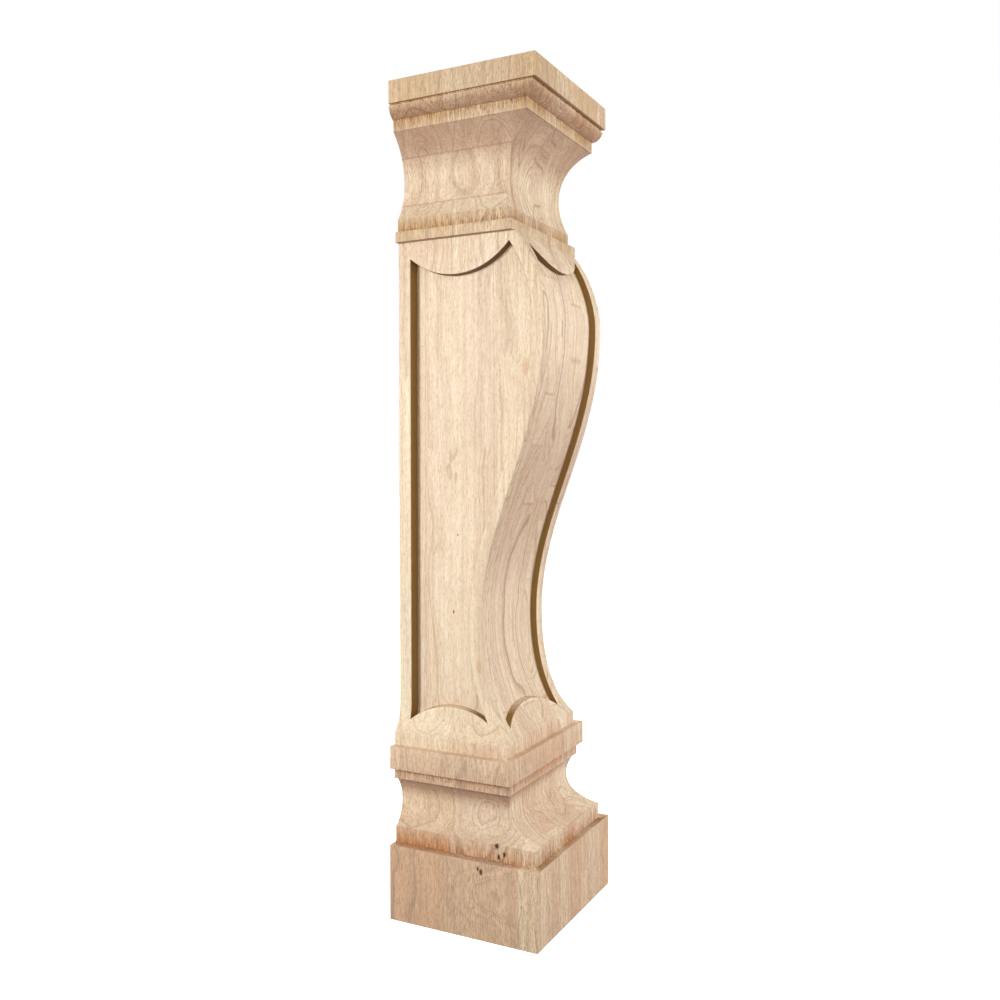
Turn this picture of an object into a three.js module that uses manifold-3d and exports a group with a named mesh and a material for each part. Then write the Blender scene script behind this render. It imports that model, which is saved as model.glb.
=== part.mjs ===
// A fireplace corbel: a tall carved leg that stands on the hearth, flat against the wall, under one end of a mantel.
// It is carved from one glued block of hardwood: plinth, moulded base, S-curved shaft with sunk panels, capital, cap.
// Millimetres, +Z up. The S-curve faces -Y, the flat back faces +Y, and the origin is under the middle, on the floor.
//
// Every moulding has two setbacks: how far its side faces and its front face stand in from the faces of the plinth.
// The block is cut in the way a joiner would cut it: one outline is sawn and moulded through from the front, another
// through from the side, and what both leave is the leg. The panels are then sunk into its two sides and its front.
import * as THREE from 'three';
import { mergeVertices } from 'three/addons/utils/BufferGeometryUtils.js';
import Module from 'manifold-3d';

const wasm = await Module();
wasm.setup();

// The block
const TOTAL_HEIGHT = 914.4;
const PLINTH_WIDTH = 197;
const PLINTH_DEPTH = 178;

// The base, from the floor up
const PLINTH_HEIGHT = 81;
const BASE_FILLET = { height: 17, side: 12, front: 8 };
const BASE_COVE = {
  height: 53,
  side: { lower: 12.8, lowerBend: 9.6, deepest: 24.8, deepestAt: 26.5, upperBend: 42.8, upper: 13.6 },
  front: { lower: 9.4, lowerBend: 14, deepest: 43.4, deepestAt: 35, upperBend: 45, upper: 38.5 },
};
const COLLAR_FILLET = { height: 12.5, side: 9.4, front: 36.5 };
const COLLAR = { height: 25, side: 0.6, front: 32 };
const TOE = { height: 12.5, side: 9.6, front: 40.3 };

// The shaft: straight sides that flare out at the foot, and a front that swings from a full belly to a slim waist
const SHAFT_SIDE = 21;
const FLARE_HEIGHT = 31;
const FLARE_BEND = 13;
const HEAD_SETBACK = 34;
const HEAD_HANDLE = { setback: 8.5, share: 0.943 };
const BELLY_SETBACK = 0;
const BELLY_SHARE = 0.836;
const BELLY_UPPER_HANDLE = 0.872;
const BELLY_LOWER_HANDLE = 0.594;
const WAIST_SETBACK = 76;
const WAIST_SHARE = 0.224;
const WAIST_UPPER_HANDLE = 0.437;
const WAIST_LOWER_HANDLE = 0.083;
const FOOT_HANDLE = { setback: 51, share: 0.033 };

// The capital and cap, from the shaft up
const NECK_BEAD = { height: 11.5, side: 14.3, front: 34.8 };
const NECK_BAND = { height: 14.5, side: 19.4, front: 41.4 };
const CAPITAL_COVE = {
  height: 95,
  side: { lower: 19.4, lowerBend: 20.3, deepest: 33.1, deepestAt: 42, upperBend: 72.7, upper: 11.2 },
  front: { lower: 41.8, lowerBend: 15, deepest: 47.4, deepestAt: 31, upperBend: 73, upper: 15.6 },
};
const CAPITAL_FILLET = { height: 12.5, side: 10.8, front: 14.4 };
const OVOLO = {
  height: 13,
  side: { lower: 10, bend: 3.8, bendAt: 3, upper: 1.6 },
  front: { lower: 13.2, bend: 6.2, bendAt: 3, upper: 4.2 },
};
const REVEAL = { height: 2.7, side: 3.6, front: 5.4 };
const CAP = { height: 25.2, side: 1.4, front: 0.6 };

// The sunk panels: the border of plain wood left around them, and the tongue and the arch left at their ends
const SIDE_PANEL = { sunk: 8.5, backBorder: 15.5, frontBorder: 14.5 };
const SIDE_TONGUE = { hangs: 40, radius: 86 };
const SIDE_ARCH = { stands: 33, radius: 82, behindMiddle: 2 };
const FRONT_PANEL = { sunk: 7.5, border: 16 };
const FRONT_TONGUE = { hangs: 35, radius: 90 };
const FRONT_ARCH = { stands: 31, radius: 115 };

// How finely curves are cut into facets
const MOULDING_STEPS = 10;
const SWEEP_STEPS = 16;
const CIRCLE_STEPS = 48;

// Heights of the joints between the mouldings, worked out from the floor up and from the top down
const filletFoot = PLINTH_HEIGHT;
const baseCoveFoot = filletFoot + BASE_FILLET.height;
const collarFilletFoot = baseCoveFoot + BASE_COVE.height;
const collarFoot = collarFilletFoot + COLLAR_FILLET.height;
const toeFoot = collarFoot + COLLAR.height;
const shaftFoot = toeFoot + TOE.height;
const capFoot = TOTAL_HEIGHT - CAP.height;
const revealFoot = capFoot - REVEAL.height;
const ovoloFoot = revealFoot - OVOLO.height;
const capitalFilletFoot = ovoloFoot - CAPITAL_FILLET.height;
const capitalCoveFoot = capitalFilletFoot - CAPITAL_COVE.height;
const neckBandFoot = capitalCoveFoot - NECK_BAND.height;
const shaftTop = neckBandFoot - NECK_BEAD.height;

// Height of a point of the shaft, given as a share of the way from its foot to its top
const alongShaft = (share) => shaftFoot + share * (shaftTop - shaftFoot);

const frontFace = -PLINTH_DEPTH / 2;
const backFace = PLINTH_DEPTH / 2;
const sideFace = PLINTH_WIDTH / 2;

// Adds a flat band to a profile: in or out along its foot, then straight up its face
function band(profile, setback, foot, top) {
  profile.lineTo(setback, foot);
  profile.lineTo(setback, top);
}

// Adds a hollow to a profile: a curve in to its deepest line and a curve out again
function hollow(profile, cove, foot, height) {
  profile.lineTo(cove.lower, foot);
  profile.quadraticCurveTo(cove.deepest, foot + cove.lowerBend, cove.deepest, foot + cove.deepestAt);
  profile.quadraticCurveTo(cove.deepest, foot + cove.upperBend, cove.upper, foot + height);
}

// Adds a quarter round that bulges outwards as it rises
function quarterRound(profile, round, foot, height) {
  profile.lineTo(round.lower, foot);
  profile.quadraticCurveTo(round.bend, foot + round.bendAt, round.upper, foot + height);
}

// The side faces of the shaft: a flare up from the toe, then straight
function straightShaft(profile) {
  profile.quadraticCurveTo(SHAFT_SIDE, shaftFoot + FLARE_BEND, SHAFT_SIDE, shaftFoot + FLARE_HEIGHT);
  profile.lineTo(SHAFT_SIDE, shaftTop);
}

// The front of the shaft: from the toe in to the waist, out to the belly and back in under the capital
function sweptShaft(profile) {
  const waist = alongShaft(WAIST_SHARE);
  const belly = alongShaft(BELLY_SHARE);
  profile.bezierCurveTo(
    FOOT_HANDLE.setback, alongShaft(FOOT_HANDLE.share),
    WAIST_SETBACK, alongShaft(WAIST_LOWER_HANDLE),
    WAIST_SETBACK, waist,
  );
  profile.bezierCurveTo(
    WAIST_SETBACK, alongShaft(WAIST_UPPER_HANDLE),
    BELLY_SETBACK, alongShaft(BELLY_LOWER_HANDLE),
    BELLY_SETBACK, belly,
  );
  profile.bezierCurveTo(
    BELLY_SETBACK, alongShaft(BELLY_UPPER_HANDLE),
    HEAD_HANDLE.setback, alongShaft(HEAD_HANDLE.share),
    HEAD_SETBACK, shaftTop,
  );
}

// One face of the leg as a line of points, setback against height, from the floor to the top.
// The view is 'side' for the profile of the side faces and 'front' for that of the front face.
function faceProfile(view, shaft, steps) {
  const profile = new THREE.Path();
  profile.moveTo(0, 0);
  profile.lineTo(0, PLINTH_HEIGHT);
  band(profile, BASE_FILLET[view], filletFoot, baseCoveFoot);
  hollow(profile, BASE_COVE[view], baseCoveFoot, BASE_COVE.height);
  band(profile, COLLAR_FILLET[view], collarFilletFoot, collarFoot);
  band(profile, COLLAR[view], collarFoot, toeFoot);
  band(profile, TOE[view], toeFoot, shaftFoot);
  shaft(profile);
  band(profile, NECK_BEAD[view], shaftTop, neckBandFoot);
  band(profile, NECK_BAND[view], neckBandFoot, capitalCoveFoot);
  hollow(profile, CAPITAL_COVE[view], capitalCoveFoot, CAPITAL_COVE.height);
  band(profile, CAPITAL_FILLET[view], capitalFilletFoot, ovoloFoot);
  quarterRound(profile, OVOLO[view], ovoloFoot, OVOLO.height);
  band(profile, REVEAL[view], revealFoot, capFoot);
  band(profile, CAP[view], capFoot, TOTAL_HEIGHT);
  return profile.getPoints(steps);
}

// A closed mesh as a solid that can be cut and joined
function solid(geometry) {
  geometry.deleteAttribute('normal');
  geometry.deleteAttribute('uv');
  const merged = mergeVertices(geometry, 1e-4);
  return new wasm.Manifold(new wasm.Mesh({
    numProp: 3,
    vertProperties: new Float32Array(merged.attributes.position.array),
    triVerts: new Uint32Array(merged.index.array),
  }));
}

// An outline given in X and Z, cut through from y = near to y = far
function cutFromTheFront(outline, near, far) {
  const block = new THREE.ExtrudeGeometry(outline, {
    depth: far - near, bevelEnabled: false, curveSegments: CIRCLE_STEPS,
  });
  block.applyMatrix4(new THREE.Matrix4().makeBasis(
    new THREE.Vector3(1, 0, 0), new THREE.Vector3(0, 0, 1), new THREE.Vector3(0, -1, 0),
  ));
  block.translate(0, far, 0);
  return solid(block);
}

// An outline given in Y and Z, cut through from x = left to x = right
function cutFromTheSide(outline, left, right) {
  const block = new THREE.ExtrudeGeometry(outline, {
    depth: right - left, bevelEnabled: false, curveSegments: CIRCLE_STEPS,
  });
  block.applyMatrix4(new THREE.Matrix4().makeBasis(
    new THREE.Vector3(0, 1, 0), new THREE.Vector3(0, 0, 1), new THREE.Vector3(1, 0, 0),
  ));
  block.translate(left, 0, 0);
  return solid(block);
}

function disc(across, height, radius) {
  const outline = new THREE.Shape();
  outline.absarc(across, height, radius, 0, 2 * Math.PI);
  return outline;
}

function rectangle(left, right, bottom, top) {
  return new THREE.Shape([
    new THREE.Vector2(left, bottom),
    new THREE.Vector2(right, bottom),
    new THREE.Vector2(right, top),
    new THREE.Vector2(left, top),
  ]);
}

// The leg before its panels are sunk
function carvedBlock() {
  const sides = faceProfile('side', straightShaft, MOULDING_STEPS);
  const right = sides.map((point) => new THREE.Vector2(sideFace - point.x, point.y));
  const left = sides.map((point) => new THREE.Vector2(point.x - sideFace, point.y)).reverse();
  const frontView = new THREE.Shape([...right, ...left]);

  const sweep = faceProfile('front', sweptShaft, SWEEP_STEPS);
  const front = sweep.map((point) => new THREE.Vector2(frontFace + point.x, point.y)).reverse();
  const back = [new THREE.Vector2(backFace, 0), new THREE.Vector2(backFace, TOTAL_HEIGHT)];
  const sideView = new THREE.Shape([...back, ...front]);

  return cutFromTheFront(frontView, frontFace, backFace).intersect(cutFromTheSide(sideView, -sideFace, sideFace));
}

// The front of the shaft alone, moved back by a distance, as a line of Y and Z from its top down to its foot
function shaftFront(movedBack) {
  const sweep = new THREE.Path();
  sweep.moveTo(TOE.front, shaftFoot);
  sweptShaft(sweep);
  return sweep.getPoints(SWEEP_STEPS)
    .map((point) => new THREE.Vector2(frontFace + point.x + movedBack, point.y))
    .reverse();
}

// One side of the shaft alone, moved in by a distance, as a line of X and Z from its foot up to its top
function shaftSide(movedIn) {
  const flare = new THREE.Path();
  flare.moveTo(TOE.side, shaftFoot);
  straightShaft(flare);
  return flare.getPoints(MOULDING_STEPS).map((point) => new THREE.Vector2(sideFace - point.x - movedIn, point.y));
}

// What is cut out of one side, where sign is +1 for the side towards +X and -1 for the other.
// Its floor is the flared side of the shaft, set further in.
function sidePanel(sign) {
  const back = backFace - SIDE_PANEL.backBorder;
  const outsideOfFloor = new THREE.Shape([
    ...shaftSide(SIDE_PANEL.sunk),
    new THREE.Vector2(sideFace, shaftTop),
    new THREE.Vector2(sideFace, shaftFoot),
  ].map((point) => new THREE.Vector2(sign * point.x, point.y)));
  const outline = new THREE.Shape([
    new THREE.Vector2(back, shaftFoot),
    new THREE.Vector2(back, shaftTop),
    ...shaftFront(SIDE_PANEL.frontBorder),
  ]);
  const middleOfTop = (backFace + frontFace + HEAD_SETBACK) / 2;
  const middleOfFoot = (backFace + frontFace + TOE.front) / 2 + SIDE_ARCH.behindMiddle;
  const tongue = disc(middleOfTop, shaftTop - SIDE_TONGUE.hangs + SIDE_TONGUE.radius, SIDE_TONGUE.radius);
  const arch = disc(middleOfFoot, shaftFoot + SIDE_ARCH.stands - SIDE_ARCH.radius, SIDE_ARCH.radius);
  return cutFromTheFront(outsideOfFloor, frontFace, backFace)
    .intersect(cutFromTheSide(outline, -sideFace, sideFace))
    .subtract(cutFromTheSide(tongue, -sideFace, sideFace))
    .subtract(cutFromTheSide(arch, -sideFace, sideFace));
}

// What is cut out of the front: it follows the sweep, so its floor is the same curve set further back
function frontPanel() {
  const halfWidth = sideFace - SHAFT_SIDE - FRONT_PANEL.border;
  const before = frontFace - FRONT_PANEL.sunk;
  const inFrontOfFloor = new THREE.Shape([
    ...shaftFront(FRONT_PANEL.sunk),
    new THREE.Vector2(before, shaftFoot),
    new THREE.Vector2(before, shaftTop),
  ]);
  const opening = rectangle(-halfWidth, halfWidth, shaftFoot, shaftTop);
  const tongue = disc(0, shaftTop - FRONT_TONGUE.hangs + FRONT_TONGUE.radius, FRONT_TONGUE.radius);
  const arch = disc(0, shaftFoot + FRONT_ARCH.stands - FRONT_ARCH.radius, FRONT_ARCH.radius);
  return cutFromTheSide(inFrontOfFloor, -halfWidth, halfWidth)
    .intersect(cutFromTheFront(opening, before, backFace))
    .subtract(cutFromTheFront(tongue, before, backFace))
    .subtract(cutFromTheFront(arch, before, backFace));
}

const leg = carvedBlock()
  .subtract(sidePanel(1))
  .subtract(sidePanel(-1))
  .subtract(frontPanel());

const cut = leg.getMesh();
const geometry = new THREE.BufferGeometry();
geometry.setAttribute('position', new THREE.BufferAttribute(cut.vertProperties, 3));
geometry.setIndex(new THREE.BufferAttribute(cut.triVerts, 1));

const corbel = new THREE.Mesh(
  geometry,
  new THREE.MeshStandardMaterial({ color: 0xe0c3a0, roughness: 0.72, metalness: 0 }),
);
corbel.name = 'fireplace_corbel';

const model = new THREE.Group();
model.add(corbel);
export default model;
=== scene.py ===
# %% [markdown]
# A carved fireplace corbel in bare hardwood.
#
# The real object is a tall leg that stands on the hearth, flat against the wall, and holds one end of a
# mantel shelf. It is machined and carved from one block of rubberwood boards, glued side by side, and it
# is sold bare, so everything the eye sees is sharp moulding, sunk panels and the grain of pale wood.
#
# This lesson makes a finer mesh of that leg with softened edges, a solid wood that runs through it in
# boards, as the real wood does, and a plain studio. Sizes are in millimetres until a mesh is made.

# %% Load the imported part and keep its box
import math
import bmesh
import bpy
import numpy as np
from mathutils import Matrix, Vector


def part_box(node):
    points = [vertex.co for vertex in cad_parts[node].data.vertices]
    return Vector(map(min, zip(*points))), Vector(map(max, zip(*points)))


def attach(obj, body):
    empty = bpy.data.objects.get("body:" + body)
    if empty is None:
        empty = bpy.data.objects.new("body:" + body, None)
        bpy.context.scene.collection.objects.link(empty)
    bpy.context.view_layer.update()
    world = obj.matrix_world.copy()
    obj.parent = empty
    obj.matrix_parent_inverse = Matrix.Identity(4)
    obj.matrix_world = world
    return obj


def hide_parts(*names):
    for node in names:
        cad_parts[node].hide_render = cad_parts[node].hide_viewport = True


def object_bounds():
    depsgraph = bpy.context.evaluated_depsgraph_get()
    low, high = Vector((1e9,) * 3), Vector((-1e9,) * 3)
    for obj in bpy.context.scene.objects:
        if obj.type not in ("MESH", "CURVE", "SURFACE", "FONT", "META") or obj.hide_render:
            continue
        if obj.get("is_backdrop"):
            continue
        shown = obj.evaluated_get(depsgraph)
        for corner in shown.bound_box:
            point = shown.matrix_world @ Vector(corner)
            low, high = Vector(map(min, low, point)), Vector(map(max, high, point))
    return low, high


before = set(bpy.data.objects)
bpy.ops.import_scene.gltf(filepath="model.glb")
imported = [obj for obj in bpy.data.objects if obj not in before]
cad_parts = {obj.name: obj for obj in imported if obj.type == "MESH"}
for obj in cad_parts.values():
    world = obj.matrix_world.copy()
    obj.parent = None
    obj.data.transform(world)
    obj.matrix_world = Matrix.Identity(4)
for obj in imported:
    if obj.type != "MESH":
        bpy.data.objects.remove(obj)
cad_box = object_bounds()
MM = 0.001
low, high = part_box("fireplace_corbel")
WIDTH = (high.x - low.x) / MM
DEPTH = (high.y - low.y) / MM
HEIGHT = (high.z - low.z) / MM
print("block", round(WIDTH, 1), "wide", round(DEPTH, 1), "deep", round(HEIGHT, 1), "high")

# %% [markdown]
# The camera. A picture of a tall thing keeps its upright lines parallel when the camera is held level, so
# the camera here doesn't tilt. A small lens shift moves the picture down a little, as cropping would. The
# camera comes first, so that every later step can be looked at from it.

# %% Set up the camera
CAMERA_PLACE = (-1029.0, -528.4, 495.9)
CAMERA_TURN = 62.68
CAMERA_ROLL = -0.17
LENS = 36.66
LENS_SHIFT = -0.03625

lens = bpy.data.cameras.new("camera")
lens.sensor_width = 36
lens.lens = LENS
lens.shift_y = LENS_SHIFT
camera = bpy.data.objects.new("camera", lens)
camera.location = [place * MM for place in CAMERA_PLACE]
camera.rotation_mode = "XYZ"
camera.rotation_euler = (math.radians(90), 0, -math.radians(CAMERA_TURN))
camera.rotation_euler.rotate_axis("Z", math.radians(CAMERA_ROLL))
bpy.context.scene.collection.objects.link(camera)
bpy.context.scene.camera = camera
print("camera", round(math.dist(CAMERA_PLACE, (0, 0, HEIGHT / 2))), "mm from the middle of the leg")

# %% [markdown]
# The profile of the mouldings. A joiner describes a moulding by how far each face stands back from the
# face of the plinth. Each row of the profile holds the setback of the two sides, the setback of the
# front, the height, and how planed the surface is, which the wood needs later. Bands are straight and
# planed, hollows and the ovolo are curves that are cut and sanded. The top band of the base was sanded
# together with the shaft. Because both setbacks are given at the same height, every row is a level
# rectangle, and the mouldings return round the corners by themselves.
#
# One could also cut two extrusions with a boolean, as for the solid. Rows are better here, because they
# give clean quads that shade smoothly, and every edge can be softened as it is made.

# %% Bands, hollows and the ovolo
CURVE_STEPS = 28
OVOLO_PLANED = 0.4


def bend(ends, handle, steps=CURVE_STEPS):
    """A curve between two points that leans on one handle."""
    t = np.linspace(0, 1, steps)[:, None]
    start, end = (np.array(p, float) for p in ends)
    return start * (1 - t) ** 2 + 2 * np.array(handle, float) * t * (1 - t) + end * t ** 2


def band(height, side, front, planed=1.0):
    """A flat face, straight up."""
    return np.array([[side, front, 0, planed], [side, front, height, planed]], float)


def hollow_curve(lower, lower_bend, deepest, deepest_at, upper_bend, upper, height):
    """Setback and height of a hollow: in to its deepest line and out again."""
    inward = bend([(lower, 0), (deepest, deepest_at)], (deepest, lower_bend))
    outward = bend([(deepest, deepest_at), (upper, height)], (deepest, upper_bend))
    return np.vstack([inward, outward[1:]])


def two_faced(side_curve, front_curve, planed):
    """Rows that follow one curve on the sides and another on the front, at shared heights."""
    z = side_curve[:, 1]
    front = np.interp(z, front_curve[:, 1], front_curve[:, 0])
    return np.column_stack([side_curve[:, 0], front, z, np.full(len(z), planed)])


def cove(height, side, front):
    return two_faced(hollow_curve(*side, height), hollow_curve(*front, height), 0.0)


def ovolo(height, side, front):
    """A quarter round that bulges as it rises."""
    curves = [bend([(lower, 0), (upper, height)], (handle, at))
              for lower, handle, at, upper in (side, front)]
    return two_faced(*curves, OVOLO_PLANED)


def stack(pieces, foot):
    """Puts mouldings on top of each other, from the foot up."""
    rows = []
    for rows_of_piece in pieces:
        rows.append(rows_of_piece + [0, 0, foot, 0])
        foot = rows[-1][-1, 2]
    return np.vstack(rows)


PLINTH_HEIGHT = 81
BASE = [
    band(PLINTH_HEIGHT, 0, 0),
    band(17, 12, 8, planed=0.8),
    cove(53, (12.8, 9.6, 24.8, 26.5, 42.8, 13.6), (9.4, 14, 43.4, 35, 45, 38.5)),
    band(12.5, 9.4, 36.5),
    band(25, 0.6, 32),
    band(12.5, 9.6, 40.3, planed=0.2),
]
CAPITAL = [
    band(11.5, 14.3, 34.8),
    band(14.5, 19.4, 41.4),
    cove(95, (19.4, 20.3, 33.1, 42, 72.7, 11.2), (41.8, 15, 47.4, 31, 73, 15.6)),
    band(12.5, 10.8, 14.4),
    ovolo(13, (10, 3.8, 3, 1.6), (13.2, 6.2, 3, 4.2)),
    band(2.7, 3.6, 5.4),
    band(25.2, 1.4, 0.6),
]
base_rows = stack(BASE, 0)
shaft_foot = base_rows[-1, 2]
capital_height = sum(piece[-1, 2] for piece in CAPITAL)
shaft_top = HEIGHT - capital_height
capital_rows = stack(CAPITAL, shaft_top)
print("shaft from", round(shaft_foot, 1), "to", round(shaft_top, 1), "mm")

# %% [markdown]
# Softened edges. A machined moulding is sanded before it leaves the shop, which takes the bite off every
# outer edge and leaves the inner corners crisp. The edge is under a millimetre wide, but it catches
# light, and without it wood looks like folded card. The corners of the profile are rounded before there
# is any mesh, because a bevel afterwards would have to find the right edges again.

# %% Round the corners of a profile
SANDED_EDGE = 0.8
INNER_CORNER = 0.25
EDGE_STEPS = 4
GENTLEST_ROUNDED = 22
LONGEST_CUT = 0.45
SAME_PLACE = 1e-6
LID_INSET = 4.0
SHAFT_SIDE, HEAD_SETBACK = 21, 34


def soften(rows):
    """Rounds each corner of a profile and marks the rows of outer edges with a fifth number."""
    done = [np.append(rows[0], 0)]
    for before, here, after in zip(rows, rows[1:], rows[2:]):
        back, ahead = here - before, after - here
        lengths = np.linalg.norm(back[:3]), np.linalg.norm(ahead[:3])
        if min(lengths) < SAME_PLACE:
            continue
        turns = []
        for face in (0, 1):
            cross = back[face] * ahead[2] - back[2] * ahead[face]
            along = back[face] * ahead[face] + back[2] * ahead[2]
            turns.append(math.degrees(math.atan2(cross, along)))
        turn = max(turns, key=abs)
        if abs(turn) < GENTLEST_ROUNDED:
            done.append(np.append(here, 0))
            continue
        outer = turn < 0
        cut = min(SANDED_EDGE if outer else INNER_CORNER, LONGEST_CUT * min(lengths))
        ends = here - back / lengths[0] * cut, here + ahead / lengths[1] * cut
        for row in bend(ends, here, EDGE_STEPS):
            done.append(np.append(row, float(outer)))
    done.append(np.append(rows[-1], 0))
    return np.array(done)


def close_ends(rows, below, above):
    """Turns the profile in at the floor or at the top, so that those edges are softened too."""
    inset = np.array([LID_INSET, LID_INSET, 0, 0])
    first = [rows[0] + inset] if below else []
    last = [rows[-1] + inset] if above else []
    return np.vstack([*first, rows, *last])


base_rows = soften(close_ends(base_rows, True, False))
shaft_head = [SHAFT_SIDE, HEAD_SETBACK, shaft_top, 0]
capital_rows = soften(close_ends(np.vstack([shaft_head, capital_rows]), False, True))
print(len(base_rows), "rows of base and", len(capital_rows), "rows of capital")

# %% [markdown]
# The shaft. Its sides are straight and flare out at the foot. Its front is one long S: from the toe in to
# a slim waist, out to a full belly and back under the capital. Three curves that share their tangents at
# waist and belly draw it. Both are turned into functions of the height, because everything on the shaft
# asks how far back the face is at some height.

# %% The faces of the shaft as functions of the height
FLARE_HEIGHT = 31
FLARE_BEND = 13
TOE_SIDE, TOE_FRONT = 9.6, 40.3
WAIST_SETBACK, WAIST_SHARE = 76, 0.224
BELLY_SETBACK, BELLY_SHARE = 0, 0.836
SWEEP_SAMPLES = 300


def along(share):
    return shaft_foot + share * (shaft_top - shaft_foot)


def sweep_curve(start, first_handle, second_handle, end):
    """Points of one stretch of the S, setback against share of the shaft's height."""
    t = np.linspace(0, 1, SWEEP_SAMPLES)[:, None]
    a, b, c, d = (np.array([p[0], along(p[1])]) for p in (start, first_handle, second_handle, end))
    return a * (1 - t) ** 3 + 3 * b * t * (1 - t) ** 2 + 3 * c * t ** 2 * (1 - t) + d * t ** 3


waist, belly = (WAIST_SETBACK, WAIST_SHARE), (BELLY_SETBACK, BELLY_SHARE)
foot_to_waist = sweep_curve((TOE_FRONT, 0), (51, 0.033), (WAIST_SETBACK, 0.083), waist)
waist_to_belly = sweep_curve(waist, (WAIST_SETBACK, 0.437), (BELLY_SETBACK, 0.594), belly)
belly_to_head = sweep_curve(belly, (BELLY_SETBACK, 0.872), (8.5, 0.943), (HEAD_SETBACK, 1))
sweep = np.vstack([foot_to_waist, waist_to_belly[1:], belly_to_head[1:]])
flare_ends = (TOE_SIDE, shaft_foot), (SHAFT_SIDE, shaft_foot + FLARE_HEIGHT)
flare = bend(flare_ends, (SHAFT_SIDE, shaft_foot + FLARE_BEND))


def side_setback(z):
    return np.interp(z, flare[:, 1], flare[:, 0])


def front_setback(z):
    return np.interp(z, sweep[:, 1], sweep[:, 0])


print("waist at", round(along(WAIST_SHARE)), "mm, belly at", round(along(BELLY_SHARE)), "mm")

# %% [markdown]
# The sunk panels. Each is routed to one depth behind the face, and it ends above in a round tongue that
# hangs into it and below in a round arch that stands up into it. The side panels run along the S at the
# front, and the floor of the front panel follows it.
#
# Each panel is a grid that is bounded by its own tongue and arch. Growing or shrinking its outline by a
# distance then gives every line that is needed for its edge: the softened rim, the wall and the fillet
# that the cutter leaves at the floor.

# %% The outlines of the panels
BACK = DEPTH / 2
FRONT = -DEPTH / 2
LEFT = -WIDTH / 2
SIDE_PANEL = {"sunk": 8.5, "back": 15.5, "front": 14.5}
SIDE_TONGUE = {"hangs": 40, "radius": 86}
SIDE_ARCH = {"stands": 33, "radius": 82, "behind_middle": 2}
FRONT_PANEL = {"sunk": 7.5, "border": 16}
FRONT_TONGUE = {"hangs": 35, "radius": 90}
FRONT_ARCH = {"stands": 31, "radius": 115}
SIDE_COLUMNS, FRONT_COLUMNS = 24, 28
RIM_EASE = 0.7
FRONTMOST_ARCH = 20
HALVINGS = 50

tongue_middle = HEAD_SETBACK / 2
arch_middle = TOE_FRONT / 2 + SIDE_ARCH["behind_middle"]
panel_half = -LEFT - SHAFT_SIDE - FRONT_PANEL["border"]


def tongue_edge(tongue, across, grow):
    """Height of a tongue's edge, across being the distance from its middle line."""
    radius = tongue["radius"] - grow
    middle = shaft_top - tongue["hangs"] + tongue["radius"]
    return middle - np.sqrt(np.maximum(radius ** 2 - across ** 2, 0))


def arch_edge(arch, across, grow):
    radius = arch["radius"] - grow
    middle = shaft_foot + arch["stands"] - arch["radius"]
    return middle + np.sqrt(np.maximum(radius ** 2 - across ** 2, 0))


def front_rim(z, grow):
    """Where the side panel ends towards the front, at some height."""
    return FRONT + front_setback(z) + SIDE_PANEL["front"] - grow


def side_end(edge, form, middle, grow):
    """Heights of a side panel's tongue or arch, back to front, found by halving the interval."""
    share = np.linspace(0, 1, SIDE_COLUMNS + 1)
    back_rim = BACK - SIDE_PANEL["back"] + grow
    near, far = np.full(share.shape, FRONT + FRONTMOST_ARCH), np.full(share.shape, back_rim)
    for _ in range(HALVINGS):
        y = (near + far) / 2
        z = np.clip(edge(form, y - middle, grow), shaft_foot, shaft_top)
        ahead = y < back_rim + share * (front_rim(z, grow) - back_rim)
        near, far = np.where(ahead, y, near), np.where(ahead, far, y)
    return edge(form, y - middle, grow)


CLOSE_ROWS = 0.06
ARCH_ROWS, MIDDLE_ROWS, TONGUE_ROWS = 10, 90, 8
near_arch = np.linspace(0, CLOSE_ROWS, ARCH_ROWS)
between_ends = np.linspace(CLOSE_ROWS, 1 - CLOSE_ROWS, MIDDLE_ROWS)
near_tongue = np.linspace(1 - CLOSE_ROWS, 1, TONGUE_ROWS)
PANEL_ROWS = np.concatenate([near_arch[:-1], between_ends[:-1], near_tongue])


def side_grid(grow):
    """Y and Z of a side panel's grid, rows from the arch up to the tongue, columns from back to front."""
    foot = side_end(arch_edge, SIDE_ARCH, arch_middle, grow)
    top = side_end(tongue_edge, SIDE_TONGUE, tongue_middle, grow)
    z = foot + PANEL_ROWS[:, None] * (top - foot)
    share = np.linspace(0, 1, SIDE_COLUMNS + 1)
    back_rim = BACK - SIDE_PANEL["back"] + grow
    return back_rim + share * (front_rim(z, grow) - back_rim), z


def front_grid(grow):
    """X and Z of the front panel's grid, columns from left to right."""
    x = np.linspace(-1, 1, FRONT_COLUMNS + 1) * (panel_half + grow)
    foot, top = arch_edge(FRONT_ARCH, x, grow), tongue_edge(FRONT_TONGUE, x, grow)
    z = foot + PANEL_ROWS[:, None] * (top - foot)
    return np.broadcast_to(x, z.shape), z


side_height = float(np.ptp(side_grid(0)[1]))
print("side panel", round(side_height), "mm high, front panel", round(2 * panel_half), "mm wide")

# %% [markdown]
# Building the mesh. Sheets of points are added one after the other, each with its mirror image, and where
# two sheets meet they share the same points, so welding close points at the end makes one closed skin.
# Four numbers ride along with every point: how much it belongs to a softened edge, to a routed wall, to a
# planed band and to the painted shade of the plinth ledge. The material reads them later.

# %% Collect sheets of points
points, faces = [], []
point_marks = {"softened": [], "routed": [], "planed": [], "sawn": []}


def add_points(grid, given):
    """Adds points with their marks and gives the number of the first one."""
    start = len(points)
    points.extend(grid.reshape(-1, 3))
    for name, values in point_marks.items():
        values.extend(np.broadcast_to(given.get(name, 0.0), grid.shape[:-1]).ravel())
    return start


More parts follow.
